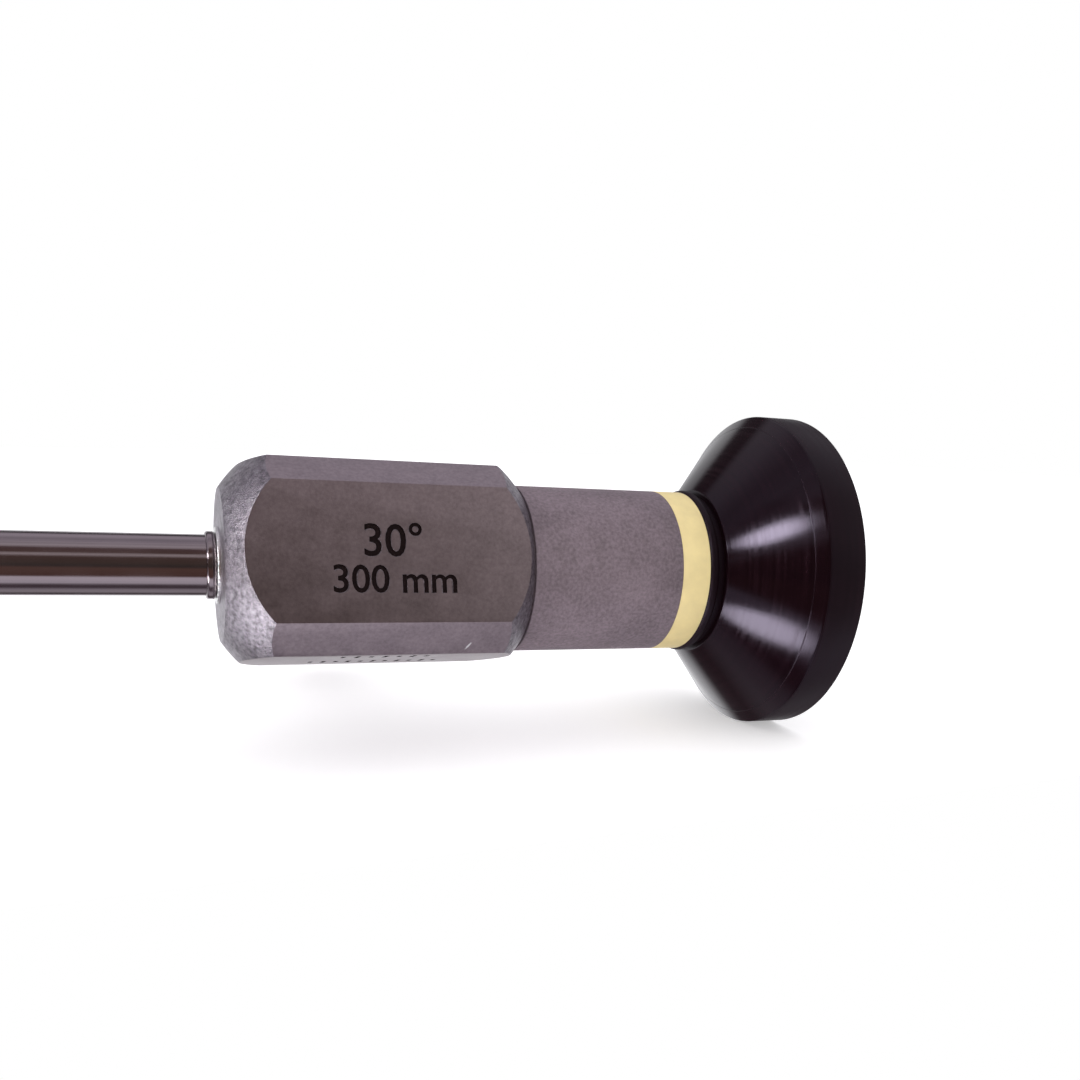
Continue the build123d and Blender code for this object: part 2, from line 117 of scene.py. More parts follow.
FLANGE_R = 5.2
THREAD_R = 3.3
INLET_R = 2.62
GRIP_R = 5.0
GRIP_LENGTH = 4.6
NECK_R = 3.7
ADAPTER_TIP_R = 4.5
TOUCHING = 1e-7                 # metres, at which a spun piece's points are one
LETTERS_TOUCHING = 1e-5         # the same for letters, which are made a metre high
MERGE = 0.0005 * MM             # the same for what cuts leave on the block

# The bright scratch on the lower front chamfer: its middle and its ways, as it lies.
SCRATCH_PLACE = Vector((21.85, -8.55, -5.89))
SCRATCH_ALONG = Vector((0.504, -0.425, 0.752))
SCRATCH_ACROSS = Vector((-0.864, -0.248, 0.439))


# ---------------------------------------------------------------- sizes and colours

def colour(name, description, red, green, blue):
    """Colour property whose default is given as the eye sees it, from 0 to 255."""
    seen = [channel / 255 for channel in (red, green, blue)]
    linear = [c / 12.92 if c <= 0.04045 else ((c + 0.055) / 1.055) ** 2.4 for c in seen]
    return FloatVectorProperty(name=name, description=description, default=linear,
                               subtype="COLOR", min=0, max=1)


def length(name, description, millimetres):
    return FloatProperty(name=name, description=description, default=millimetres * MM,
                         min=0, precision=5, unit="LENGTH", subtype="DISTANCE")


class EndoscopeSizes(bpy.types.PropertyGroup):
    facets: IntProperty(name="Facets", description="Facets round a turned piece",
                        default=144, min=24, max=256)
    edge: length("Edge", "Rounding of the metal's edges", 0.06)
    cup_edge: length("Eyecup edge", "Rounding of the eyecup's edges", 0.16)
    mark_depth: length("Mark depth", "Depth of the engraved marks", 0.12)
    angle_height: length("Angle mark height", "Height of the view angle's digits", 2.9)
    length_height: length("Length mark height", "Height of the shaft length's digits", 2.35)
    flutes: IntProperty(name="Flutes", description="Flutes round the adapter's grip",
                        default=24, min=6, max=60)
    flute_depth: length("Flute depth", "Depth of the flutes in the grip", 0.22)


class EndoscopeColours(bpy.types.PropertyGroup):
    polished: colour("Polished steel", "Shaft, collar, post and adapter", 152, 142, 146)
    blasted: colour("Blasted steel", "Rear sleeve", 149, 136, 143)
    ground: colour("Ground steel", "Flats of the housing block", 159, 148, 153)
    turned: colour("Turned steel", "Crowned ends of the housing block", 152, 146, 154)
    mark: colour("Marks", "Floor of the engraved marks", 24, 11, 11)
    gold: colour("Gold", "Ring that tells the size class", 250, 230, 166)
    cup: colour("Eyecup", "Black plastic of the eyecup", 19, 6, 10)
    inner: colour("Inner steel", "Tubes and spacers of the lens train", 150, 148, 148)
    black: colour("Black metal", "Blackened stops and ocular tube", 22, 22, 24)
    glass: colour("Glass", "Lenses, rods and windows", 250, 252, 252)
    fibre: colour("Fibre ends", "Polished ends of the light fibres", 214, 206, 178)
    rubber: colour("Seals", "Ring seals", 38, 36, 38)
    floor: colour("Floor", "Stage under the instrument", 250, 250, 250)
    room: colour("Room light", "Even light that matt surfaces get", 252, 250, 254)


# ---------------------------------------------------------------- shapes

# A corner of an outline: its place along the axis, its radius, the rounding of the
# corner, and the radius of the arc that leads to it, bulging left of the way there.
At = namedtuple("At", "x r round bow", defaults=(0, 0))


def sizes():
    return bpy.context.scene.endoscope_sizes


def colours():
    return bpy.context.scene.endoscope_colours


def arc_to(mesh, corner, end, bow):
    """Spins a vertex along an arc to its end and returns the new vertices on the way."""
    half = (end - corner.co) / 2
    side = Vector((-half.z, 0, half.x)).normalized()
    centre = corner.co + half - side * sqrt(bow**2 - half.length**2)
    turn = 2 * asin(half.length / bow)
    steps = max(6, round(turn / radians(3)))
    bmesh.ops.spin(mesh, geom=[corner], cent=centre, axis=(0, 1, 0), angle=turn,
                   steps=steps)
    way = [corner]
    for _ in range(steps):
        ahead = [edge.other_vert(way[-1]) for edge in way[-1].link_edges]
        way.append(next(vert for vert in ahead if vert not in way))
    return way[1:]


def outline(mesh, corners):
    """Closed chain of edges through the corners, in the plane of X and Z."""
    chain = []
    rounded = {}
    for at in corners:
        place = Vector((at.x, 0, at.r)) * MM
        if at.bow:
            chain += arc_to(mesh, chain[-1], place, at.bow * MM)
        else:
            chain.append(mesh.verts.new(place))
        if at.round:
            rounded.setdefault(at.round, []).append(chain[-1])
    for first, second in zip(chain, chain[1:] + chain[:1]):
        if not mesh.edges.get((first, second)):
            mesh.edges.new((first, second))
    for radius, verts in rounded.items():
        bmesh.ops.bevel(mesh, geom=verts, offset=radius * MM, offset_type="OFFSET",
                        segments=3, profile=0.5, affect="VERTICES", material=-1)


def spun(corners, facets=None):
    """Mesh of a closed outline, turned once round the optical axis."""
    mesh = bmesh.new()
    outline(mesh, corners)
    bmesh.ops.spin(mesh, geom=mesh.verts[:] + mesh.edges[:], cent=(0, 0, 0),
                   axis=(1, 0, 0), angle=tau, steps=facets or sizes().facets,
                   use_merge=True)
    bmesh.ops.remove_doubles(mesh, verts=mesh.verts, dist=TOUCHING)
    bmesh.ops.recalc_face_normals(mesh, faces=mesh.faces)
    return mesh


def onto_post(mesh):
    """Moves what was turned about X onto the light post's axis."""
    place = Matrix.Translation((X_POST * MM, 0, 0)) @ Matrix.Rotation(pi / 2, 4, "Z")
    bmesh.ops.transform(mesh, matrix=place, verts=mesh.verts)


def finished(name, mesh, materials, node=None, smooth=35):
    """Object of a mesh, rolled as the instrument lies, that stands for a CAD node."""
    bmesh.ops.transform(mesh, matrix=Matrix.Rotation(radians(-ROLL), 4, "X"),
                        verts=mesh.verts)
    data = bpy.data.meshes.new(name)
    mesh.to_mesh(data)
    mesh.free()
    for look in materials:
        data.materials.append(look)
    data.shade_smooth()
    data.set_sharp_from_angle(angle=radians(smooth))
    piece = bpy.data.objects.new(name, data)
    bpy.context.scene.collection.objects.link(piece)
    if node:
        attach(piece, "root")
        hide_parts(node)
    return piece


def scratch_object(name, mesh, material=None):
    """Object that only lends its shape to a boolean."""
    data = bpy.data.meshes.new(name)
    mesh.to_mesh(data)
    mesh.free()
    if material:
        data.materials.append(material)
    made = bpy.data.objects.new(name, data)
    bpy.context.scene.collection.objects.link(made)
    return made


def with_modifiers(piece):
    """Fresh mesh of an object with its modifiers applied."""
    depsgraph = bpy.context.evaluated_depsgraph_get()
    made = bmesh.new()
    shape = piece.evaluated_get(depsgraph).to_mesh()
    made.from_mesh(shape)
    if not made.faces:
        raise RuntimeError(f"{piece.name} came out empty")
    return made


def cut(piece, tool, operation="DIFFERENCE"):
    boolean = piece.modifiers.new(tool.name, "BOOLEAN")
    boolean.operation = operation
    boolean.object = tool
    boolean.solver = "EXACT"
    boolean.material_mode = "TRANSFER"


# ---------------------------------------------------------------- shaders

def add(tree, kind, inputs=None, **settings):
    """Adds a node; an input is given a value, or a socket to be linked to."""
    made = tree.nodes.new(kind)
    for key, value in settings.items():
        setattr(made, key, value)
    for socket, value in (inputs or {}).items():
        if isinstance(value, bpy.types.NodeSocket):
            tree.links.new(value, made.inputs[socket])
        else:
            made.inputs[socket].default_value = value
    return made


def maths(tree, operation, first, second=0.0):
    made = add(tree, "ShaderNodeMath", {0: first, 1: second}, operation=operation)
    return made.outputs[0]


def spread(tree, value, low, high, to_low=0.0, to_high=1.0):
    """Maps low to high onto another range, and clamps it."""
    made = add(tree, "ShaderNodeMapRange", {
        "Value": value, "From Min": low, "From Max": high,
        "To Min": to_low, "To Max": to_high})
    return made.outputs[0]


def noise(tree, place, size, detail=2.0, roughness=0.5, stretch=(1, 1, 1)):
    """Noise whose grain is size millimetres, stretched by a factor along each axis."""
    scaled = add(tree, "ShaderNodeMapping", {
        "Vector": place, "Scale": [1 / (size * MM * s) for s in stretch]})
    made = add(tree, "ShaderNodeTexNoise", {
        "Vector": scaled.outputs[0], "Scale": 1.0, "Detail": detail,
        "Roughness": roughness})
    return made.outputs["Fac"]


def new_group(name, inputs, outputs):
    """Shader node group with named sockets, and its input and output nodes."""
    group = bpy.data.node_groups.new(name, "ShaderNodeTree")
    for label, default in inputs.items():
        socket = group.interface.new_socket(label, in_out="INPUT",
                                            socket_type="NodeSocketFloat")
        socket.default_value = default
    for label in outputs:
        group.interface.new_socket(label, in_out="OUTPUT", socket_type="NodeSocketFloat")
    start = group.nodes.new("NodeGroupInput")
    end = group.nodes.new("NodeGroupOutput")
    place = add(group, "ShaderNodeTexCoord").outputs["Object"]
    return group, start, end, place


def scaled_noise(group, place, size, detail, roughness=0.5):
    """Noise whose grain, in metres, comes from a socket."""
    scale = maths(group, "DIVIDE", 1.0, size)
    made = add(group, "ShaderNodeTexNoise", {
        "Vector": place, "Scale": scale, "Detail": detail, "Roughness": roughness})
    return made.outputs["Fac"]


def blasted_group():
    """Fine pits of a bead-blasted surface, and the cloudy patches between them."""
    group, start, end, place = new_group(
        "blasted_surface", {"Pit Size": 0.12 * MM, "Patch Size": 2.5 * MM},
        ("Pits", "Grain", "Patches"))
    pits = scaled_noise(group, place, start.outputs["Pit Size"], 2.0)
    wide = maths(group, "MULTIPLY", start.outputs["Pit Size"], 3.2)
    grain = scaled_noise(group, place, wide, 3.0, 0.6)
    patches = scaled_noise(group, place, start.outputs["Patch Size"], 3.0, 0.55)
    group.links.new(spread(group, pits, 0.3, 0.7), end.inputs["Pits"])
    group.links.new(spread(group, grain, 0.3, 0.7), end.inputs["Grain"])
    group.links.new(spread(group, patches, 0.3, 0.7), end.inputs["Patches"])


def turned_group():
    """Lines that a lathe leaves round the optical axis, close and wandering."""
    group, start, end, place = new_group(
        "turned_lines", {"Pitch": 0.08 * MM, "Wander": 0.3}, ("Lines", "Bands"))
    split = add(group, "ShaderNodeSeparateXYZ", {0: place})
    across = add(group, "ShaderNodeCombineXYZ", {
        "Y": split.outputs["Y"], "Z": split.outputs["Z"]})
    radius = add(group, "ShaderNodeVectorMath", {0: across.outputs[0]},
                 operation="LENGTH").outputs["Value"]
    along = maths(group, "ADD", split.outputs["X"], radius)
    loose = noise(group, place, 3.0, detail=1.0)
    drift = maths(group, "MULTIPLY", loose, start.outputs["Wander"])
    steps = maths(group, "DIVIDE", along, start.outputs["Pitch"])
    line_at = maths(group, "ADD", steps, drift)
    lines = add(group, "ShaderNodeTexNoise", {
        "W": line_at, "Scale": 1.0, "Detail": 2.0}, noise_dimensions="1D")
    slow = maths(group, "MULTIPLY", line_at, 0.12)
    bands = add(group, "ShaderNodeTexNoise", {
        "W": slow, "Scale": 1.0, "Detail": 1.0}, noise_dimensions="1D")
    group.links.new(spread(group, lines.outputs["Fac"], 0.3, 0.7), end.inputs["Lines"])
    group.links.new(spread(group, bands.outputs["Fac"], 0.35, 0.65), end.inputs["Bands"])


def drawn_group():
    """Faint straight lines along X, as on a drawn and polished tube, with smears."""
    group, start, end, place = new_group(
        "drawn_lines", {"Line Width": 0.05 * MM}, ("Lines", "Smears"))
    width = start.outputs["Line Width"]
    split = add(group, "ShaderNodeSeparateXYZ", {0: place})
    thin = maths(group, "DIVIDE", 1.0, width)
    scaled = add(group, "ShaderNodeCombineXYZ", {
        "X": maths(group, "MULTIPLY", split.outputs["X"], 1 / (40 * MM)),
        "Y": maths(group, "MULTIPLY", split.outputs["Y"], thin),
        "Z": maths(group, "MULTIPLY", split.outputs["Z"], thin)})
    lines = add(group, "ShaderNodeTexNoise", {
        "Vector": scaled.outputs[0], "Scale": 1.0, "Detail": 2.0})
    smears = noise(group, place, 2.2, detail=3.0, roughness=0.6, stretch=(3.5, 1, 1))
    group.links.new(spread(group, lines.outputs["Fac"], 0.3, 0.7), end.inputs["Lines"])
    group.links.new(spread(group, smears, 0.35, 0.7), end.inputs["Smears"])


def effect(tree, name, **inputs):
    made = add(tree, "ShaderNodeGroup", node_tree=bpy.data.node_groups[name])
    for label, value in inputs.items():
        made.inputs[label.replace("_", " ")].default_value = value
    return made.outputs


def mixed(tree, amount, first, second):
    """Colour between two, by a mask."""
    made = add(tree, "ShaderNodeMix", data_type="RGBA")
    tree.links.new(amount, made.inputs["Factor"])
    for socket, value in ((6, first), (7, second)):
        if isinstance(value, bpy.types.NodeSocket):
            tree.links.new(value, made.inputs[socket])
        else:
            made.inputs[socket].default_value = value
    return made.outputs[2]


def shade(rgb, factor):
    return [min(1.0, channel * factor) for channel in rgb] + [1.0]


def blend(tree, first, second, share):
    """Two masks added, the first with its share and the second with the rest."""
    return maths(tree, "ADD", maths(tree, "MULTIPLY", first, share),
                 maths(tree, "MULTIPLY", second, 1 - share))


def along_axis(tree):
    """Place along the optical axis, in metres."""
    place = add(tree, "ShaderNodeTexCoord").outputs["Object"]
    return add(tree, "ShaderNodeSeparateXYZ", {0: place}).outputs["X"]


def bumped(tree, height, distance, strength=1.0, onto=None):
    inputs = {"Height": height, "Distance": distance * MM, "Strength": strength}
    if onto:
        inputs["Normal"] = onto
    return add(tree, "ShaderNodeBump", inputs).outputs[0]


def material(name, inputs=None):
    """Material with a Principled shader; returns its tree and the shader."""
    made = bpy.data.materials.new(f"{name}_finish")
    made.use_nodes = True
    tree = made.node_tree
    tree.nodes.clear()
    shader = add(tree, "ShaderNodeBsdfPrincipled", inputs)
    add(tree, "ShaderNodeOutputMaterial", {"Surface": shader.outputs[0]})
    return tree, shader


def finish(name):
    """Material made here; the frame's own materials have the plain names."""
    return bpy.data.materials[f"{name}_finish"]


def connect(tree, shader, **sockets):
    for label, source in sockets.items():
        tree.links.new(source, shader.inputs[label.replace("_", " ")])


def polished_steel():
    """Shaft, bead and post: mirror-like, with faint lines along the tube."""
    tree, shader = material("polished_steel", {"Metallic": 1.0})
    base = colours().polished
    drawn = effect(tree, "drawn_lines")
    tone = blend(tree, drawn["Lines"], drawn["Smears"], 0.5)
    connect(tree, shader,
            Base_Color=mixed(tree, tone, shade(base, 0.9), shade(base, 1.05)),
            Roughness=spread(tree, drawn["Smears"], 0, 1, 0.10, 0.20),
            Normal=bumped(tree, drawn["Lines"], 0.002, 0.35))


def turned_steel():
    """Crowned ends: brighter than the flats, with lathe lines and sparkle; the boss is polished,
    and its colour is lightened to near white as a painted highlight.
    """
    tree, shader = material("turned_steel", {"Metallic": 1.0})
    base = colours().turned
    turned = effect(tree, "turned_lines", Pitch=0.14 * MM, Wander=1.6)
    blasted = effect(tree, "blasted_surface", Pit_Size=0.13 * MM, Patch_Size=1.1 * MM)
    tone = blend(tree, blasted["Grain"], turned["Bands"], 0.85)
    rough = bumped(tree, blasted["Pits"], 0.03, 0.9)
    satin = spread(tree, blasted["Patches"], 0, 1, 0.30, 0.46)
    along = along_axis(tree)
    # Mask of the boss in front of the face: it lowers the roughness (real polish) and lightens
    # the colour (painted highlight).
    boss_polish_and_painted_highlight = spread(tree, along, (X_FACE - 0.05) * MM, X_FACE * MM, 1.0, 0.0)
    worn = mixed(tree, tone, shade(base, 0.42), shade(base, 1.52))
    connect(tree, shader,
            # Near-white colour on the boss: a painted highlight on its edge.
            Base_Color=mixed(tree, boss_polish_and_painted_highlight, worn, shade((1, 1, 1), 0.9)),
            Roughness=maths(tree, "MULTIPLY", satin, spread(tree, boss_polish_and_painted_highlight, 0, 1, 1.0, 0.4)),
            Normal=bumped(tree, turned["Lines"], 0.002, 0.35, rough))


def blasted_steel():
    """Rear sleeve: even grey grain."""
    tree, shader = material("blasted_steel", {"Metallic": 0.6})
    base = colours().blasted
    blasted = effect(tree, "blasted_surface", Pit_Size=0.10 * MM, Patch_Size=3.5 * MM)
    tone = blend(tree, blasted["Grain"], blasted["Patches"], 0.6)
    connect(tree, shader,
            Base_Color=mixed(tree, tone, shade(base, 0.66), shade(base, 1.34)),
            Roughness=spread(tree, blasted["Patches"], 0, 1, 0.62, 0.72),
            Normal=bumped(tree, blasted["Pits"], 0.008, 0.7))


def scratch(tree):
    """Mask of the small bright scratch on the front lower chamfer."""
    place = add(tree, "ShaderNodeTexCoord").outputs["Object"]
    off = add(tree, "ShaderNodeVectorMath", {0: place, 1: SCRATCH_PLACE * MM},
              operation="SUBTRACT").outputs[0]
    squares = []
    for way, half in ((SCRATCH_ALONG, 0.62), (SCRATCH_ACROSS, 0.13)):
        far = add(tree, "ShaderNodeVectorMath", {0: off, 1: way / (half * MM)},
                  operation="DOT_PRODUCT").outputs["Value"]
        squares.append(maths(tree, "MULTIPLY", far, far))
    worn = maths(tree, "ADD", *squares)
    frayed = maths(tree, "ADD", worn, noise(tree, place, 0.15))
    return spread(tree, frayed, 0.7, 1.4, 1.0, 0.0)


def ground_steel():
    """Flats of the block: finer than the blasted sleeve, so they mirror the dark room."""
    tree, shader = material("ground_steel", {"Metallic": 1.0})
    base = colours().ground
    blasted = effect(tree, "blasted_surface", Pit_Size=0.10 * MM, Patch_Size=2.0 * MM)
    tone = blend(tree, blasted["Grain"], blasted["Patches"], 0.6)
    satin = mixed(tree, tone, shade(base, 0.78), shade(base, 1.22))
    connect(tree, shader,
            Base_Color=mixed(tree, scratch(tree), satin, shade((1, 1, 1), 0.95)),
            Roughness=spread(tree, blasted["Patches"], 0, 1, 0.34, 0.42),
            Normal=bumped(tree, blasted["Pits"], 0.006, 0.55))


def mark_paint():
    """Dark floor of the marks."""
    tree, shader = material("engraved_mark", {
        "Metallic": 0.0, "Roughness": 0.75, "Specular IOR Level": 0.15})
    base = colours().mark
    blasted = effect(tree, "blasted_surface", Pit_Size=0.08 * MM, Patch_Size=1.0 * MM)
    connect(tree, shader,
            Base_Color=mixed(tree, blasted["Grain"], shade(base, 0.7), shade(base, 1.4)),
            Normal=bumped(tree, blasted["Pits"], 0.01, 0.8))


def gold_plate():
    """Ring: satin gold with fine turned lines."""
    tree, shader = material("gold_ring", {"Metallic": 0.1})
    base = colours().gold
    blasted = effect(tree, "blasted_surface", Pit_Size=0.10 * MM, Patch_Size=1.8 * MM)
    turned = effect(tree, "turned_lines", Pitch=0.12 * MM)
    connect(tree, shader,
            Base_Color=mixed(tree, blasted["Patches"], shade(base, 0.94), shade(base, 1.05)),
            Roughness=spread(tree, blasted["Grain"], 0, 1, 0.40, 0.5),
            Normal=bumped(tree, turned["Lines"], 0.003, 0.4,
                          bumped(tree, blasted["Pits"], 0.004, 0.5)))


CUP_MATT = 0.34                 # how much rougher the hub and the rim are than the cone


def black_plastic():
    """Eyecup: a glossy cone with one faint turned line, between a matt hub and rim."""
    tree, shader = material("black_eyecup", {
        "Metallic": 0.0, "IOR": 1.45, "Specular IOR Level": 0.28,
        "Specular Tint": (0.86, 0.76, 1.0, 1.0)})
    base = colours().cup
    turned = effect(tree, "turned_lines", Pitch=0.09 * MM, Wander=0.2)
    blasted = effect(tree, "blasted_surface", Pit_Size=0.14 * MM, Patch_Size=3.0 * MM)
    handled = maths(tree, "MULTIPLY", blasted["Patches"], turned["Bands"])
    along = along_axis(tree)
    hub = spread(tree, along, (X_CONE - 0.02) * MM, (X_CONE + 0.02) * MM, CUP_MATT, 0.0)
    rim = spread(tree, along, (X_RIM - 0.05) * MM, (X_RIM + 0.05) * MM, 0.0, CUP_MATT)
    matt = maths(tree, "ADD", hub, rim)
    gloss = spread(tree, handled, 0, 1, 0.11, 0.19)
    from_score = maths(tree, "ABSOLUTE", maths(tree, "SUBTRACT", along, X_SCORE * MM))
    score = spread(tree, from_score, 0.02 * MM, 0.07 * MM, 0.16, 0.0)
    connect(tree, shader,
            Base_Color=mixed(tree, handled, shade(base, 0.85), shade(base, 1.5)),
            Roughness=maths(tree, "ADD", maths(tree, "ADD", gloss, score), matt),
            Normal=bumped(tree, turned["Lines"], 0.0018, 0.5,
                          bumped(tree, blasted["Grain"], 0.0004, 0.5)))


def inner_steel():
    """Tubes, spacers and window holder: drawn steel."""
    tree, shader = material("inner_steel", {"Metallic": 1.0})
    base = colours().inner
    drawn = effect(tree, "drawn_lines", Line_Width=0.08 * MM)
    connect(tree, shader,
            Base_Color=mixed(tree, drawn["Lines"], shade(base, 0.9), shade(base, 1.08)),
            Roughness=spread(tree, drawn["Smears"], 0, 1, 0.28, 0.4),
            Normal=bumped(tree, drawn["Lines"], 0.003, 0.4))


def black_metal():
    """Blackened stops and ocular tube."""
    tree, shader = material("black_metal", {"Metallic": 0.6})
    base = colours().black
    turned = effect(tree, "turned_lines", Pitch=0.1 * MM)
    blasted = effect(tree, "blasted_surface")
    connect(tree, shader,
            Base_Color=mixed(tree, blasted["Grain"], shade(base, 0.8), shade(base, 1.3)),
            Roughness=spread(tree, turned["Bands"], 0, 1, 0.42, 0.56),
            Normal=bumped(tree, turned["Lines"], 0.004, 0.5))


def lens_glass():
    """Clear glass, barely smeared."""
    tree, shader = material("lens_glass", {
        "Metallic": 0.0, "Transmission Weight": 1.0, "IOR": 1.52})
    base = colours().glass
    blasted = effect(tree, "blasted_surface", Pit_Size=0.3 * MM, Patch_Size=2.0 * MM)
    connect(tree, shader,
            Base_Color=mixed(tree, blasted["Patches"], shade(base, 0.97), shade(base, 1.0)),
            Roughness=spread(tree, blasted["Patches"], 0, 1, 0.0, 0.02))


def fibre_ends():
    """Polished ends of glass fibres, each a pale dot in darker cement."""
    tree, shader = material("fibre_glass", {"Metallic": 0.0, "Coat Weight": 0.6})
    base = colours().fibre
    place = add(tree, "ShaderNodeTexCoord").outputs["Object"]
    cells = add(tree, "ShaderNodeTexVoronoi", {
        "Vector": place, "Scale": 1 / (0.06 * MM), "Randomness": 0.7})
    dots = spread(tree, cells.outputs["Distance"], 0.38, 0.5, 1.0, 0.0)
    connect(tree, shader,
            Base_Color=mixed(tree, dots, shade(base, 0.35), shade(base, 1.0)),
            Roughness=spread(tree, dots, 0, 1, 0.35, 0.12),
            Normal=bumped(tree, dots, 0.004, 0.5))


def seal_rubber():
    """Dull ring seals."""
    tree, shader = material("seal_rubber", {"Metallic": 0.0})
    base = colours().rubber
    blasted = effect(tree, "blasted_surface", Pit_Size=0.1 * MM, Patch_Size=1.0 * MM)
    connect(tree, shader,
            Base_Color=mixed(tree, blasted["Grain"], shade(base, 0.8), shade(base, 1.25)),
            Roughness=spread(tree, blasted["Patches"], 0, 1, 0.5, 0.65),
            Normal=bumped(tree, blasted["Pits"], 0.006, 0.5))


# ---------------------------------------------------------------- operators

class PieceOperator(bpy.types.Operator):
    bl_options = {"REGISTER", "UNDO"}


class ENDOSCOPE_OT_finishes(PieceOperator):
    """Makes the shared surface effects and the finishes of all pieces"""
    bl_idname = "endoscope.finishes"
    bl_label = "Finishes"

    def execute(self, context):
        for make in (blasted_group, turned_group, drawn_group):
            make()
        for make in (polished_steel, turned_steel, blasted_steel, ground_steel, mark_paint,
                     gold_plate, black_plastic, inner_steel, black_metal, lens_glass, fibre_ends,
                     seal_rubber):
            make()
        return {"FINISHED"}


CAMERA_PLACE = (-0.006177, -0.0997, 0.012529)
CAMERA_RIGHT = Vector((0.93042, -0.36197, 0.05732))
CAMERA_UP = Vector((0.03125, 0.2342, 0.97169))
CAMERA_LENS = 35.956
CAMERA_SHIFT = (-0.01585, 0.14271)
LAMP_ELEVATION = 80             # degrees above level, on the camera's side
LAMP_DISTANCE = 0.60
LAMP_WIDTH = 0.25
LAMP_SPAN = 1.2
LAMP_POWER = 0.22
FLOOR_FRONT = 0.028             # the table ends this far in front of the axis
FLOOR_DEPTH = 1.0
FLOOR_SPAN = 1.6
FLOOR_MIDDLE = -0.2
FLOOR_GLOW = 0.4                # keeps the shadow soft and the table white
FLOOR_SLOPE = (RIM_R - SHAFT_R) / (X_RIM - X_TIP)


def camera():
    """Camera where the photograph was taken from."""
    data = bpy.data.cameras.new("camera")
    data.lens = CAMERA_LENS
    data.sensor_width = 36
    data.shift_x, data.shift_y = CAMERA_SHIFT
    data.clip_start = 0.005
    data.clip_end = 20
    made = bpy.data.objects.new("camera", data)
    bpy.context.scene.collection.objects.link(made)
    right = CAMERA_RIGHT.normalized()
    back = right.cross(CAMERA_UP).normalized()
    up = back.cross(right)
    made.matrix_world = Matrix.Translation(CAMERA_PLACE) @ Matrix(
        (right, up, back)).transposed().to_4x4()
    bpy.context.scene.camera = made


def lamp_above():
    """Long soft lamp over the instrument, turned towards it."""
    data = bpy.data.lights.new("lamp_above", "AREA")
    data.shape = "RECTANGLE"
    data.size = LAMP_SPAN
    data.size_y = LAMP_WIDTH
    data.energy = LAMP_POWER
    made = bpy.data.objects.new("lamp_above", data)
    bpy.context.scene.collection.objects.link(made)
    angle = radians(LAMP_ELEVATION)
    along = Vector((1, 0, 0))
    back = Vector((0, -cos(angle), sin(angle)))
    made.matrix_world = Matrix.Translation(back * LAMP_DISTANCE) @ Matrix(
        (along, back.cross(along), back)).transposed().to_4x4()


def floor():
    """White table that leans as the instrument does, and keeps its shadow."""
    mesh = bmesh.new()
    bmesh.ops.create_grid(mesh, x_segments=1, y_segments=1, size=FLOOR_DEPTH / 2)
    slope = Matrix.Rotation(-FLOOR_SLOPE, 4, "Y")
    rest = Matrix.Translation((X_RIM * MM, 0, -RIM_R * MM)) @ slope
    middle = Matrix.Translation((FLOOR_MIDDLE, FLOOR_DEPTH / 2 - FLOOR_FRONT, 0))
    spread_out = middle @ Matrix.Diagonal((FLOOR_SPAN / FLOOR_DEPTH, 1, 1, 1))
    bmesh.ops.transform(mesh, matrix=rest @ spread_out, verts=mesh.verts)
    data = bpy.data.meshes.new("stage_floor")
    mesh.to_mesh(data)
    mesh.free()
    made = bpy.data.objects.new("stage_floor", data)
    bpy.context.scene.collection.objects.link(made)
    surface = bpy.data.materials.new("stage_white")
    surface.use_nodes = True
    tree = surface.node_tree
    tree.nodes.clear()
    white = add(tree, "ShaderNodeBsdfDiffuse", {"Color": shade(colours().floor, 1.0)})
    glow = add(tree, "ShaderNodeEmission", {"Strength": FLOOR_GLOW})
    seen = add(tree, "ShaderNodeAddShader", {0: white.outputs[0], 1: glow.outputs[0]})
    path = add(tree, "ShaderNodeLightPath")
    either = add(tree, "ShaderNodeMixShader", {
        0: path.outputs["Is Camera Ray"], 1: white.outputs[0], 2: seen.outputs[0]})
    add(tree, "ShaderNodeOutputMaterial", {"Surface": either.outputs[0]})
    data.materials.append(surface)
    made.visible_glossy = False
    made.visible_shadow = False


# What shiny surfaces see round the optical axis: degrees above level on the camera's
# side (90 is overhead, 180 behind), and the light there.
ROOM_BANDS = (
    (-180, (0.7, 0.7, 0.72)), (-168, (1.1, 1.1, 1.13)), (-146, (1.1, 1.1, 1.13)),
    (-138, (0.12, 0.10, 0.11)), (-126, (0.12, 0.10, 0.11)),
    (-112, (0.55, 0.52, 0.56)), (-97, (0.48, 0.45, 0.50)), (-88, (0.12, 0.09, 0.11)),
    (-74, (0.14, 0.11, 0.13)), (-65, (0.85, 0.82, 0.90)), (-42, (1.0, 0.96, 1.04)),
    (-37, (0.16, 0.09, 0.075)), (-8, (0.19, 0.11, 0.085)), (0, (0.07, 0.06, 0.055)),
    (10, (0.11, 0.08, 0.065)), (34, (0.14, 0.09, 0.075)), (38, (0.66, 0.60, 0.60)),
    (43, (0.66, 0.60, 0.60)), (48, (0.14, 0.085, 0.07)), (66, (0.17, 0.11, 0.11)),
    (76, (0.50, 0.46, 0.50)), (84, (0.30, 0.26, 0.30)), (96, (0.55, 0.51, 0.57)),
    (106, (0.42, 0.39, 0.44)), (124, (0.66, 0.62, 0.69)), (136, (0.52, 0.48, 0.54)),
    (142, (0.08, 0.07, 0.08)), (153, (0.08, 0.07, 0.08)), (158, (0.7, 0.7, 0.72)),
)
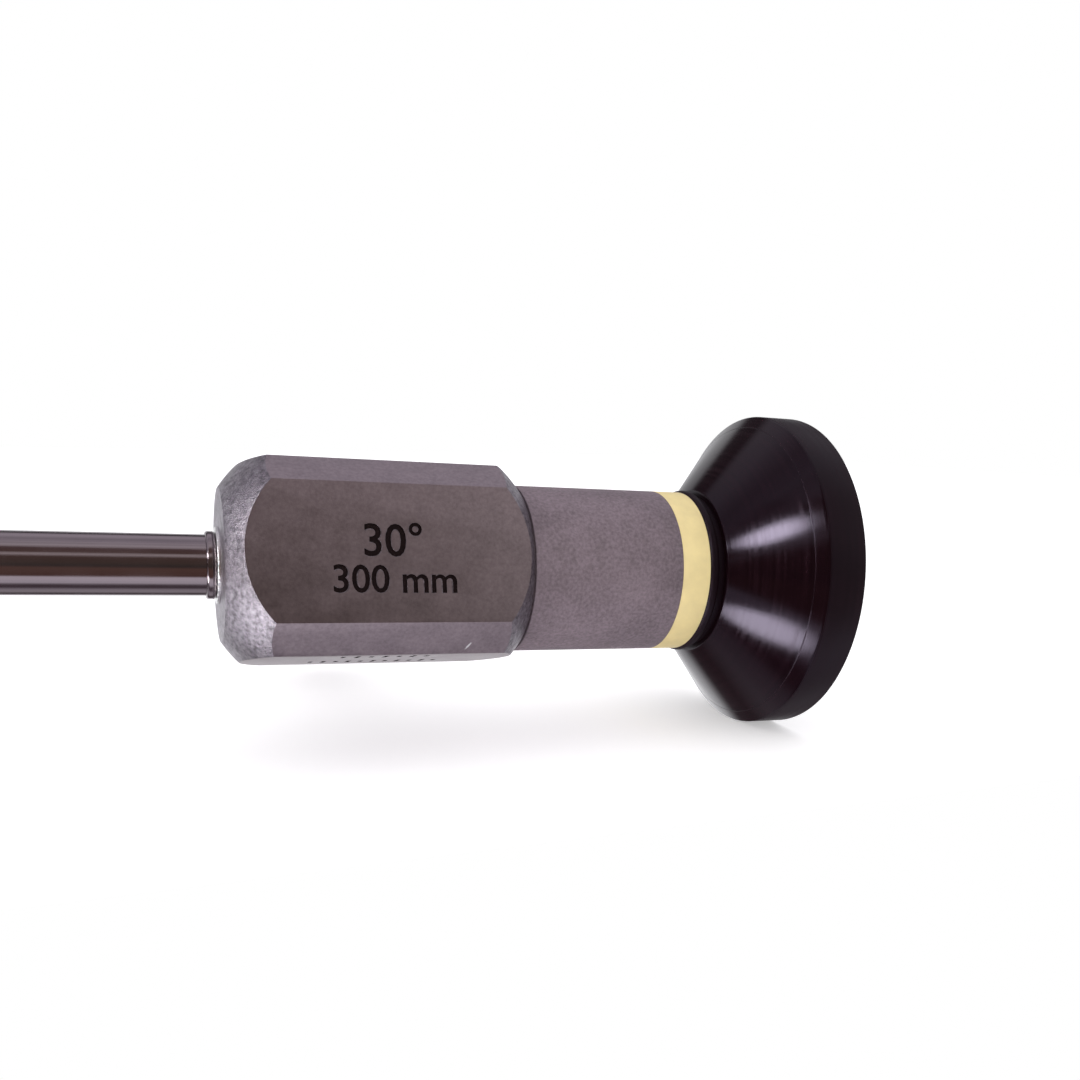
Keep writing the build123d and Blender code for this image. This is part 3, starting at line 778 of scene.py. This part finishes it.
# Soft boxes in that room, of which two lie beyond the shaft: the ways to both ends, half
# the width and the width of the faded edge in degrees, and the brightness.
SOFT_BOXES = (
    ((-0.889, -0.218, 0.403), (-0.849, -0.264, 0.457), 3.0, 3.5, 30.0),
    ((-0.826, -0.202, -0.526), (-0.797, -0.283, -0.534), 5.5, 4.0, 18.0),
    ((0.70, -0.64, 0.32), (0.70, -0.64, 0.32), 10, 25, 0.25),
)


def bands(tree, way):
    """Colour by the angle round the optical axis."""
    split = add(tree, "ShaderNodeSeparateXYZ", {0: way})
    front = maths(tree, "MULTIPLY", split.outputs["Y"], -1.0)
    angle = maths(tree, "ARCTAN2", split.outputs["Z"], front)
    made = add(tree, "ShaderNodeValToRGB", {"Fac": spread(tree, angle, -pi, pi)})
    stops = made.color_ramp.elements
    while len(stops) > 1:
        stops.remove(stops[-1])
    for number, (degrees, rgb) in enumerate(ROOM_BANDS):
        place = (degrees + 180) / 360
        stop = stops[0] if number == 0 else stops.new(place)
        stop.position = place
        stop.color = (*rgb, 1.0)
    return made.outputs["Color"]


def soft_box(tree, way, first, last, half_width, edge, brightness):
    """Light of one soft box, by how near a direction comes to the line between its ends."""
    first = Vector(first).normalized()
    last = Vector(last).normalized()
    near = -1.0
    for toward in (first, last, (first + last).normalized()):
        aim = add(tree, "ShaderNodeVectorMath", {0: way, 1: toward},
                  operation="DOT_PRODUCT").outputs["Value"]
        near = maths(tree, "MAXIMUM", near, aim)
    return spread(tree, near, cos(radians(half_width + edge)), cos(radians(half_width)),
                  0.0, brightness)


def studio_world():
    """Even light on every side, white to the camera; gloss sees a darker room."""
    world = bpy.data.worlds.new("studio")
    bpy.context.scene.world = world
    world.use_nodes = True
    tree = world.node_tree
    tree.nodes.clear()
    way = add(tree, "ShaderNodeTexCoord").outputs["Generated"]
    room = bands(tree, way)
    for box in SOFT_BOXES:
        glow = soft_box(tree, way, *box)
        room = add(tree, "ShaderNodeVectorMath", {0: room, 1: glow},
                   operation="ADD").outputs[0]
    path = add(tree, "ShaderNodeLightPath")
    white = maths(tree, "MAXIMUM", path.outputs["Is Camera Ray"],
                  path.outputs["Is Transmission Ray"])
    lit = mixed(tree, path.outputs["Is Glossy Ray"], shade(colours().room, 1.0), room)
    seen = mixed(tree, white, lit, shade((1, 1, 1), 1.0))
    light = add(tree, "ShaderNodeBackground", {"Color": seen, "Strength": 1.0})
    add(tree, "ShaderNodeOutputWorld", {"Surface": light.outputs[0]})


class ENDOSCOPE_OT_stage(PieceOperator):
    """Sets the camera, the white floor, the room and the lamp"""
    bl_idname = "endoscope.stage"
    bl_label = "Stage"

    def execute(self, context):
        context.scene.view_settings.view_transform = "Standard"
        camera()
        floor()
        studio_world()
        lamp_above()
        return {"FINISHED"}


class ENDOSCOPE_OT_shaft(PieceOperator):
    """Thin polished tube with its bevelled tip, and the bead at its root"""
    bl_idname = "endoscope.shaft"
    bl_label = "Shaft"

    def execute(self, context):
        steel = finish("polished_steel")
        tube = spun((
            At(X_TIP - 1, SHEATH_BORE_R), At(X_TIP - 1, SHAFT_R), At(0, SHAFT_R),
            At(0, SHEATH_SEAT_R), At(X_SHEATH_END, SHEATH_SEAT_R),
            At(X_SHEATH_END, SHEATH_BORE_R)))
        view = Vector((-cos(radians(VIEW_ANGLE)), -sin(radians(VIEW_ANGLE)), 0))
        tip = Vector((X_TIP, SHAFT_R, 0)) * MM
        bmesh.ops.bisect_plane(tube, geom=tube.verts[:] + tube.edges[:] + tube.faces[:],
                               plane_co=tip, plane_no=view, clear_outer=True)
        open_ends = [edge for edge in tube.edges if edge.is_boundary]
        bmesh.ops.bridge_loops(tube, edges=open_ends)
        bmesh.ops.recalc_face_normals(tube, faces=tube.faces)
        finished("sheath", tube, [steel], "outer_sheath_tube")
        bead = spun((
            At(0, SHEATH_SEAT_R + FIT), At(0, COLLAR_R, 0.25), At(X_BOSS, COLLAR_R, 0.25),
            At(X_BOSS, SHEATH_SEAT_R + FIT)))
        finished("collar", bead, [steel], "shaft_collar")
        return {"FINISHED"}


SOCKET_FACETS = 96
ANGLE_PLACE = (14.97, -0.26)    # middle of the words along the axis, and their foot
LENGTH_PLACE = (15.1, -3.4)
HALO_WEIGHT = 0.024             # how much bolder than the font the pale edge is cut,
WORD_WEIGHT = 0.011             # and the dark words
DASH_ROWS = ((-3.6, 11.2, 18.8, 7), (2.4, 9.2, 20.9, 11))   # place, first, last, count
DASH_LENGTHS = (1.3, 2.0)
DASH_WIDTH = 0.38


def bar():
    """Square bar with its four long edges cut to flat chamfers."""
    mesh = bmesh.new()
    bmesh.ops.create_cube(mesh, size=1)
    span = X_SEAM - X_BOSS + 2
    middle = Matrix.Translation(((X_BOSS + X_SEAM) / 2 * MM, 0, 0))
    size = Matrix.Diagonal((span * MM, 2 * BLOCK_R * MM, 2 * BLOCK_R * MM, 1))
    bmesh.ops.transform(mesh, matrix=middle @ size, verts=mesh.verts)
    long_edges = [edge for edge in mesh.edges
                  if abs((edge.verts[0].co - edge.verts[1].co).x) > span * MM / 2]
    bmesh.ops.bevel(mesh, geom=long_edges, offset=(BLOCK_R - FLAT_WIDTH / 2) * MM,
                    offset_type="OFFSET", segments=1, profile=0.5, affect="EDGES",
                    material=-1)
    return mesh


def words(text, height, x, z, depth, weight):
    """Solid letters, standing on the label face, for the engraving to take away."""
    curve = bpy.data.curves.new("words", "FONT")
    curve.body = text
    curve.align_x = "CENTER"
    curve.size = 1
    curve.offset = weight
    curve.resolution_u = 4
    curve.extrude = 0.5
    lettered = bpy.data.objects.new("words", curve)
    bpy.context.scene.collection.objects.link(lettered)
    depsgraph = bpy.context.evaluated_depsgraph_get()
    flat = bpy.data.meshes.new_from_object(lettered.evaluated_get(depsgraph))
    bpy.data.objects.remove(lettered)
    mesh = bmesh.new()
    mesh.from_mesh(flat)
    bmesh.ops.remove_doubles(mesh, verts=mesh.verts, dist=LETTERS_TOUCHING)
    bmesh.ops.recalc_face_normals(mesh, faces=mesh.faces)
    size = height / max(vert.co.y for vert in mesh.verts)
    place = (Matrix.Translation((x * MM, -BLOCK_R * MM, z * MM))
             @ Matrix.Rotation(pi / 2, 4, "X")
             @ Matrix.Diagonal((size, size, 2 * depth, 1)))
    bmesh.ops.transform(mesh, matrix=place, verts=mesh.verts)
    return mesh


def dashes(depth):
    """Two rows of short cuts on the lower flat, as the cutter for them."""
    mesh = bmesh.new()
    for z_row, first, last, count in DASH_ROWS:
        pitch = (last - first) / (count - 1)
        for number in range(count):
            tall = DASH_LENGTHS[number % 2]
            place = (Matrix.Translation(Vector((first + number * pitch, z_row, -BLOCK_R)) * MM)
                     @ Matrix.Diagonal((DASH_WIDTH * MM, tall * MM, 2 * depth, 1)))
            bmesh.ops.create_cube(mesh, size=1, matrix=place)
    return mesh


class ENDOSCOPE_OT_block(PieceOperator):
    """Housing block with its crowned ends, bores and engraved marks"""
    bl_idname = "endoscope.block"
    bl_label = "Housing block"

    def execute(self, context):
        size = sizes()
        satin = finish("ground_steel")
        bright = finish("turned_steel")
        dark = finish("engraved_mark")
        crown = spun((
            At(X_BOSS, 0), At(X_BOSS, BOSS_R, 0.15), At(X_FACE, BOSS_R),
            At(X_FACE + FACE_DISH, FACE_R), At(X_FACE + CROWN_FRONT, CORNER_R, 0, CROWN_BOW),
            At(X_SEAM - CROWN_REAR, CORNER_R), At(X_SEAM, SLEEVE_R, 0, CROWN_BOW),
            At(X_SEAM, 0)))
        bores = spun((
            At(0, 0), At(0, SHEATH_SEAT_R + FIT), At(X_CAVITY, SHEATH_SEAT_R + FIT),
            At(X_CAVITY, CAVITY_R), At(X_REAR_BORE, CAVITY_R),
            At(X_REAR_BORE, REAR_BORE_R), At(X_SEAM + 1, REAR_BORE_R), At(X_SEAM + 1, 0)))
        socket = spun((
            At(CAVITY_R - 2, 0), At(CAVITY_R - 2, SOCKET_R), At(BLOCK_R + 1, SOCKET_R),
            At(BLOCK_R + 1, 0)), SOCKET_FACETS)
        onto_post(socket)
        depth = size.mark_depth
        marks = ((f"{VIEW_ANGLE:.0f}\N{DEGREE SIGN}", size.angle_height, *ANGLE_PLACE),
                 (f"{-X_TIP:.0f} mm", size.length_height, *LENGTH_PLACE))
        blank = scratch_object("blank", bar(), satin)
        tools = [scratch_object("crown", crown, bright)]
        cut(blank, tools[0], "INTERSECT")
        for name, shape in (("bores", bores), ("socket", socket)):
            tools.append(scratch_object(name, shape, bright))
            cut(blank, tools[-1])
        soften = blank.modifiers.new("edges", "BEVEL")
        soften.width = size.edge
        soften.segments = 2
        soften.limit_method = "ANGLE"
        soften.angle_limit = radians(20)
        soften.use_clamp_overlap = True
        for text, height, x, z in marks:
            for look, sunk, weight in ((bright, depth / 6, HALO_WEIGHT),
                                       (dark, depth, WORD_WEIGHT)):
                shape = words(text, height, x, z, sunk, weight)
                tools.append(scratch_object("mark", shape, look))
                cut(blank, tools[-1])
        tools.append(scratch_object("dashes", dashes(depth), dark))
        cut(blank, tools[-1])
        mesh = with_modifiers(blank)
        bmesh.ops.remove_doubles(mesh, verts=mesh.verts, dist=MERGE)
        bmesh.ops.dissolve_degenerate(mesh, edges=mesh.edges, dist=MERGE)
        names = [entry.name for entry in blank.evaluated_get(
            context.evaluated_depsgraph_get()).data.materials if entry]
        for tool in (*tools, blank):
            bpy.data.objects.remove(tool)
        finished("block", mesh, [bpy.data.materials[name] for name in names],
                 "housing_block", smooth=18)
        return {"FINISHED"}


class ENDOSCOPE_OT_sleeve(PieceOperator):
    """Rear sleeve with the seam in front of it, and the gold ring"""
    bl_idname = "endoscope.sleeve"
    bl_label = "Sleeve and ring"

    def execute(self, context):
        edge = sizes().edge / MM
        sleeve = spun((
            At(X_REAR_BORE, SLEEVE_BORE_R), At(X_REAR_BORE, REAR_BORE_R - FIT),
            At(X_SEAM, REAR_BORE_R - FIT), At(X_SEAM, SLEEVE_R - SEAM_DEPTH),
            At(X_SEAM + SEAM_WIDTH, SLEEVE_R - SEAM_DEPTH),
            At(X_SEAM + SEAM_WIDTH, SLEEVE_R, edge),
            At(X_RING, SLEEVE_R, edge), At(X_RING, RING_SEAT_R), At(X_CUP, RING_SEAT_R),
            At(X_CUP, SPIGOT_R), At(X_SPIGOT_END, SPIGOT_R),
            At(X_SPIGOT_END, FRAME_SEAT_R), At(X_FRAME, FRAME_SEAT_R),
            At(X_FRAME, SLEEVE_BORE_R)))
        finished("sleeve", sleeve, [finish("blasted_steel")],
                 "rear_sleeve")
        ring = spun((
            At(X_RING, RING_SEAT_R + FIT), At(X_RING, SLEEVE_R, edge),
            At(X_CUP, SLEEVE_R, edge), At(X_CUP, RING_SEAT_R + FIT)))
        finished("size_ring", ring, [finish("gold_ring")],
                 "colour_ring")
        return {"FINISHED"}


class ENDOSCOPE_OT_eyecup(PieceOperator):
    """Black eyecup with its bead, cone, rim and funnel, and the rear window"""
    bl_idname = "endoscope.eyecup"
    bl_label = "Eyecup"

    def execute(self, context):
        edge = sizes().cup_edge / MM
        cup = spun((
            At(X_CUP, SPIGOT_R + FIT), At(X_CUP, SLEEVE_R - BEAD_DEPTH),
            At(X_BEAD_END, SLEEVE_R - BEAD_DEPTH, 0, BEAD_BOW),
            At(X_BEAD_END, SLEEVE_R - GROOVE_DEPTH), At(X_CONE, SLEEVE_R - GROOVE_DEPTH),
            At(X_CONE, HUB_R, 0.08), At(X_RIM, RIM_R, edge), At(X_REAR, RIM_R, 0.25),
            At(X_REAR, FUNNEL_MOUTH_R, 0.2), At(X_FUNNEL, FUNNEL_R, 0, FUNNEL_BOW),
            At(X_FUNNEL, FRAME_SEAT_R),
            At(X_SEAL_END, FRAME_SEAT_R), At(X_SEAL_END, SPIGOT_R + FIT)))
        finished("cup", cup, [finish("black_eyecup")],
                 "eyecup", smooth=40)
        seat = X_FUNNEL - WINDOW_SEAT
        holder = spun((
            At(X_FRAME, WINDOW_R - WINDOW_LIP), At(X_FRAME, FRAME_R),
            At(X_FUNNEL, FRAME_R, 0.1), At(X_FUNNEL, WINDOW_R + FIT, 0.1),
            At(seat, WINDOW_R + FIT), At(seat, WINDOW_R - WINDOW_LIP)))
        finished("window_holder", holder, [finish("inner_steel")],
                 "window_frame")
        pane = spun((
            At(seat, 0), At(seat, WINDOW_R, 0.08), At(seat + WINDOW_THICK, WINDOW_R, 0.08),
            At(seat + WINDOW_THICK, 0)))
        finished("rear_window", pane, [finish("lens_glass")],
                 "eyepiece_window")
        return {"FINISHED"}


def flute(mesh, low, high, radius, count, depth):
    """Presses scallops into a band of a piece that is turned about X."""
    for vert in mesh.verts:
        reach = hypot(vert.co.y, vert.co.z)
        if low < vert.co.x / MM < high and abs(reach / MM - radius) < 0.01:
            sunk = depth * sin(atan2(vert.co.z, vert.co.y) * count / 2) ** 2
            vert.co.yz *= 1 - sunk / reach


class ENDOSCOPE_OT_light_post(PieceOperator):
    """Light post behind the block, with its screw-on adapter"""
    bl_idname = "endoscope.light_post"
    bl_label = "Light post"

    def execute(self, context):
        steel = finish("polished_steel")
        post = spun((
            At(POST_FOOT, POST_BORE_R), At(POST_FOOT, POST_R), At(BLOCK_R, POST_R),
            At(BLOCK_R, FLANGE_R), At(BLOCK_R + 1.6, FLANGE_R, 0.15),
            At(BLOCK_R + 4.2, POST_R, 0.3), At(POST_BODY, POST_R, 0.15),
            At(POST_BODY, THREAD_R), At(POST_TOP, THREAD_R), At(POST_TOP, POST_BORE_R)))
        onto_post(post)
        finished("post", post, [steel], "light_post")
        grip = POST_BODY + GRIP_LENGTH
        seal_top = POST_BODY + 0.7
        tip = spun((
            At(POST_BODY, SOCKET_R), At(POST_BODY, 4.4, 0.08), At(POST_BODY + 0.6, GRIP_R),
            At(POST_BODY + 0.9, GRIP_R), At(grip - 0.9, GRIP_R), At(grip - 0.6, GRIP_R),
            At(grip, NECK_R, 0.3), At(grip + 2.2, NECK_R, 0.2),
            At(grip + 2.8, ADAPTER_TIP_R, 0.1), At(ADAPTER_TOP - 0.3, ADAPTER_TIP_R, 0.1),
            At(ADAPTER_TOP, ADAPTER_TIP_R - 0.3), At(ADAPTER_TOP, INLET_R, 0.1),
            At(POST_TOP, INLET_R), At(POST_TOP, THREAD_R + FIT),
            At(seal_top, THREAD_R + FIT), At(seal_top, SOCKET_R)))
        flute(tip, POST_BODY + 0.8, grip - 0.8, GRIP_R, sizes().flutes, sizes().flute_depth)
        onto_post(tip)
        finished("adapter", tip, [steel], "light_cable_adapter")
        return {"FINISHED"}


NODE_FINISHES = {
    "inner_steel": ("optic_tube", "optic_tube_bush", "spacer_tube", "objective_spacer",
                    "light_guide_ferrule"),
    "black_metal": ("aperture_plate", "field_stop", "ocular_tube", "ocular_spacer",
                    "ocular_lock_ring"),
    "lens_glass": ("distal_window", "deflecting_prism", "objective_lens",
                   "objective_doublet", "rod_lens", "ocular_lens", "light_inlet_glass"),
    "fibre_glass": ("light_guide_bundle",),
    "seal_rubber": ("eyecup_seal", "post_seal"),
}


class ENDOSCOPE_OT_optics(PieceOperator):
    """Finishes of the lens train, the ocular and the seals inside"""
    bl_idname = "endoscope.optics"
    bl_label = "Optics"

    def execute(self, context):
        for slot, starts in NODE_FINISHES.items():
            for name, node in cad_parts.items():
                if name.startswith(starts):
                    node.data.materials.clear()
                    node.data.materials.append(finish(slot))
        return {"FINISHED"}


class ENDOSCOPE_PT_panel(bpy.types.Panel):
    bl_idname = "ENDOSCOPE_PT_panel"
    bl_label = "Rigid endoscope"
    bl_space_type = "VIEW_3D"
    bl_region_type = "UI"
    bl_category = "Endoscope"

    def draw(self, context):
        layout = self.layout
        for group in (context.scene.endoscope_sizes, context.scene.endoscope_colours):
            box = layout.box()
            for name in group.bl_rna.properties.keys():
                if name not in ("rna_type", "name"):
                    box.prop(group, name)
        for operator in OPERATORS:
            layout.operator(operator.bl_idname)


GROUPS = (EndoscopeSizes, EndoscopeColours)
OPERATORS = (ENDOSCOPE_OT_finishes, ENDOSCOPE_OT_stage, ENDOSCOPE_OT_shaft,
             ENDOSCOPE_OT_block, ENDOSCOPE_OT_sleeve, ENDOSCOPE_OT_eyecup,
             ENDOSCOPE_OT_light_post, ENDOSCOPE_OT_optics)


def register():
    for made in (*GROUPS, *OPERATORS, ENDOSCOPE_PT_panel):
        bpy.utils.register_class(made)
    bpy.types.Scene.endoscope_sizes = PointerProperty(type=EndoscopeSizes)
    bpy.types.Scene.endoscope_colours = PointerProperty(type=EndoscopeColours)


def unregister():
    del bpy.types.Scene.endoscope_colours
    del bpy.types.Scene.endoscope_sizes
    for made in reversed((*GROUPS, *OPERATORS, ENDOSCOPE_PT_panel)):
        bpy.utils.unregister_class(made)


def main():
    register()
    for operator in OPERATORS:
        family, call = operator.bl_idname.split(".")
        getattr(getattr(bpy.ops, family), call)()


if __name__ == "__main__":
    main()
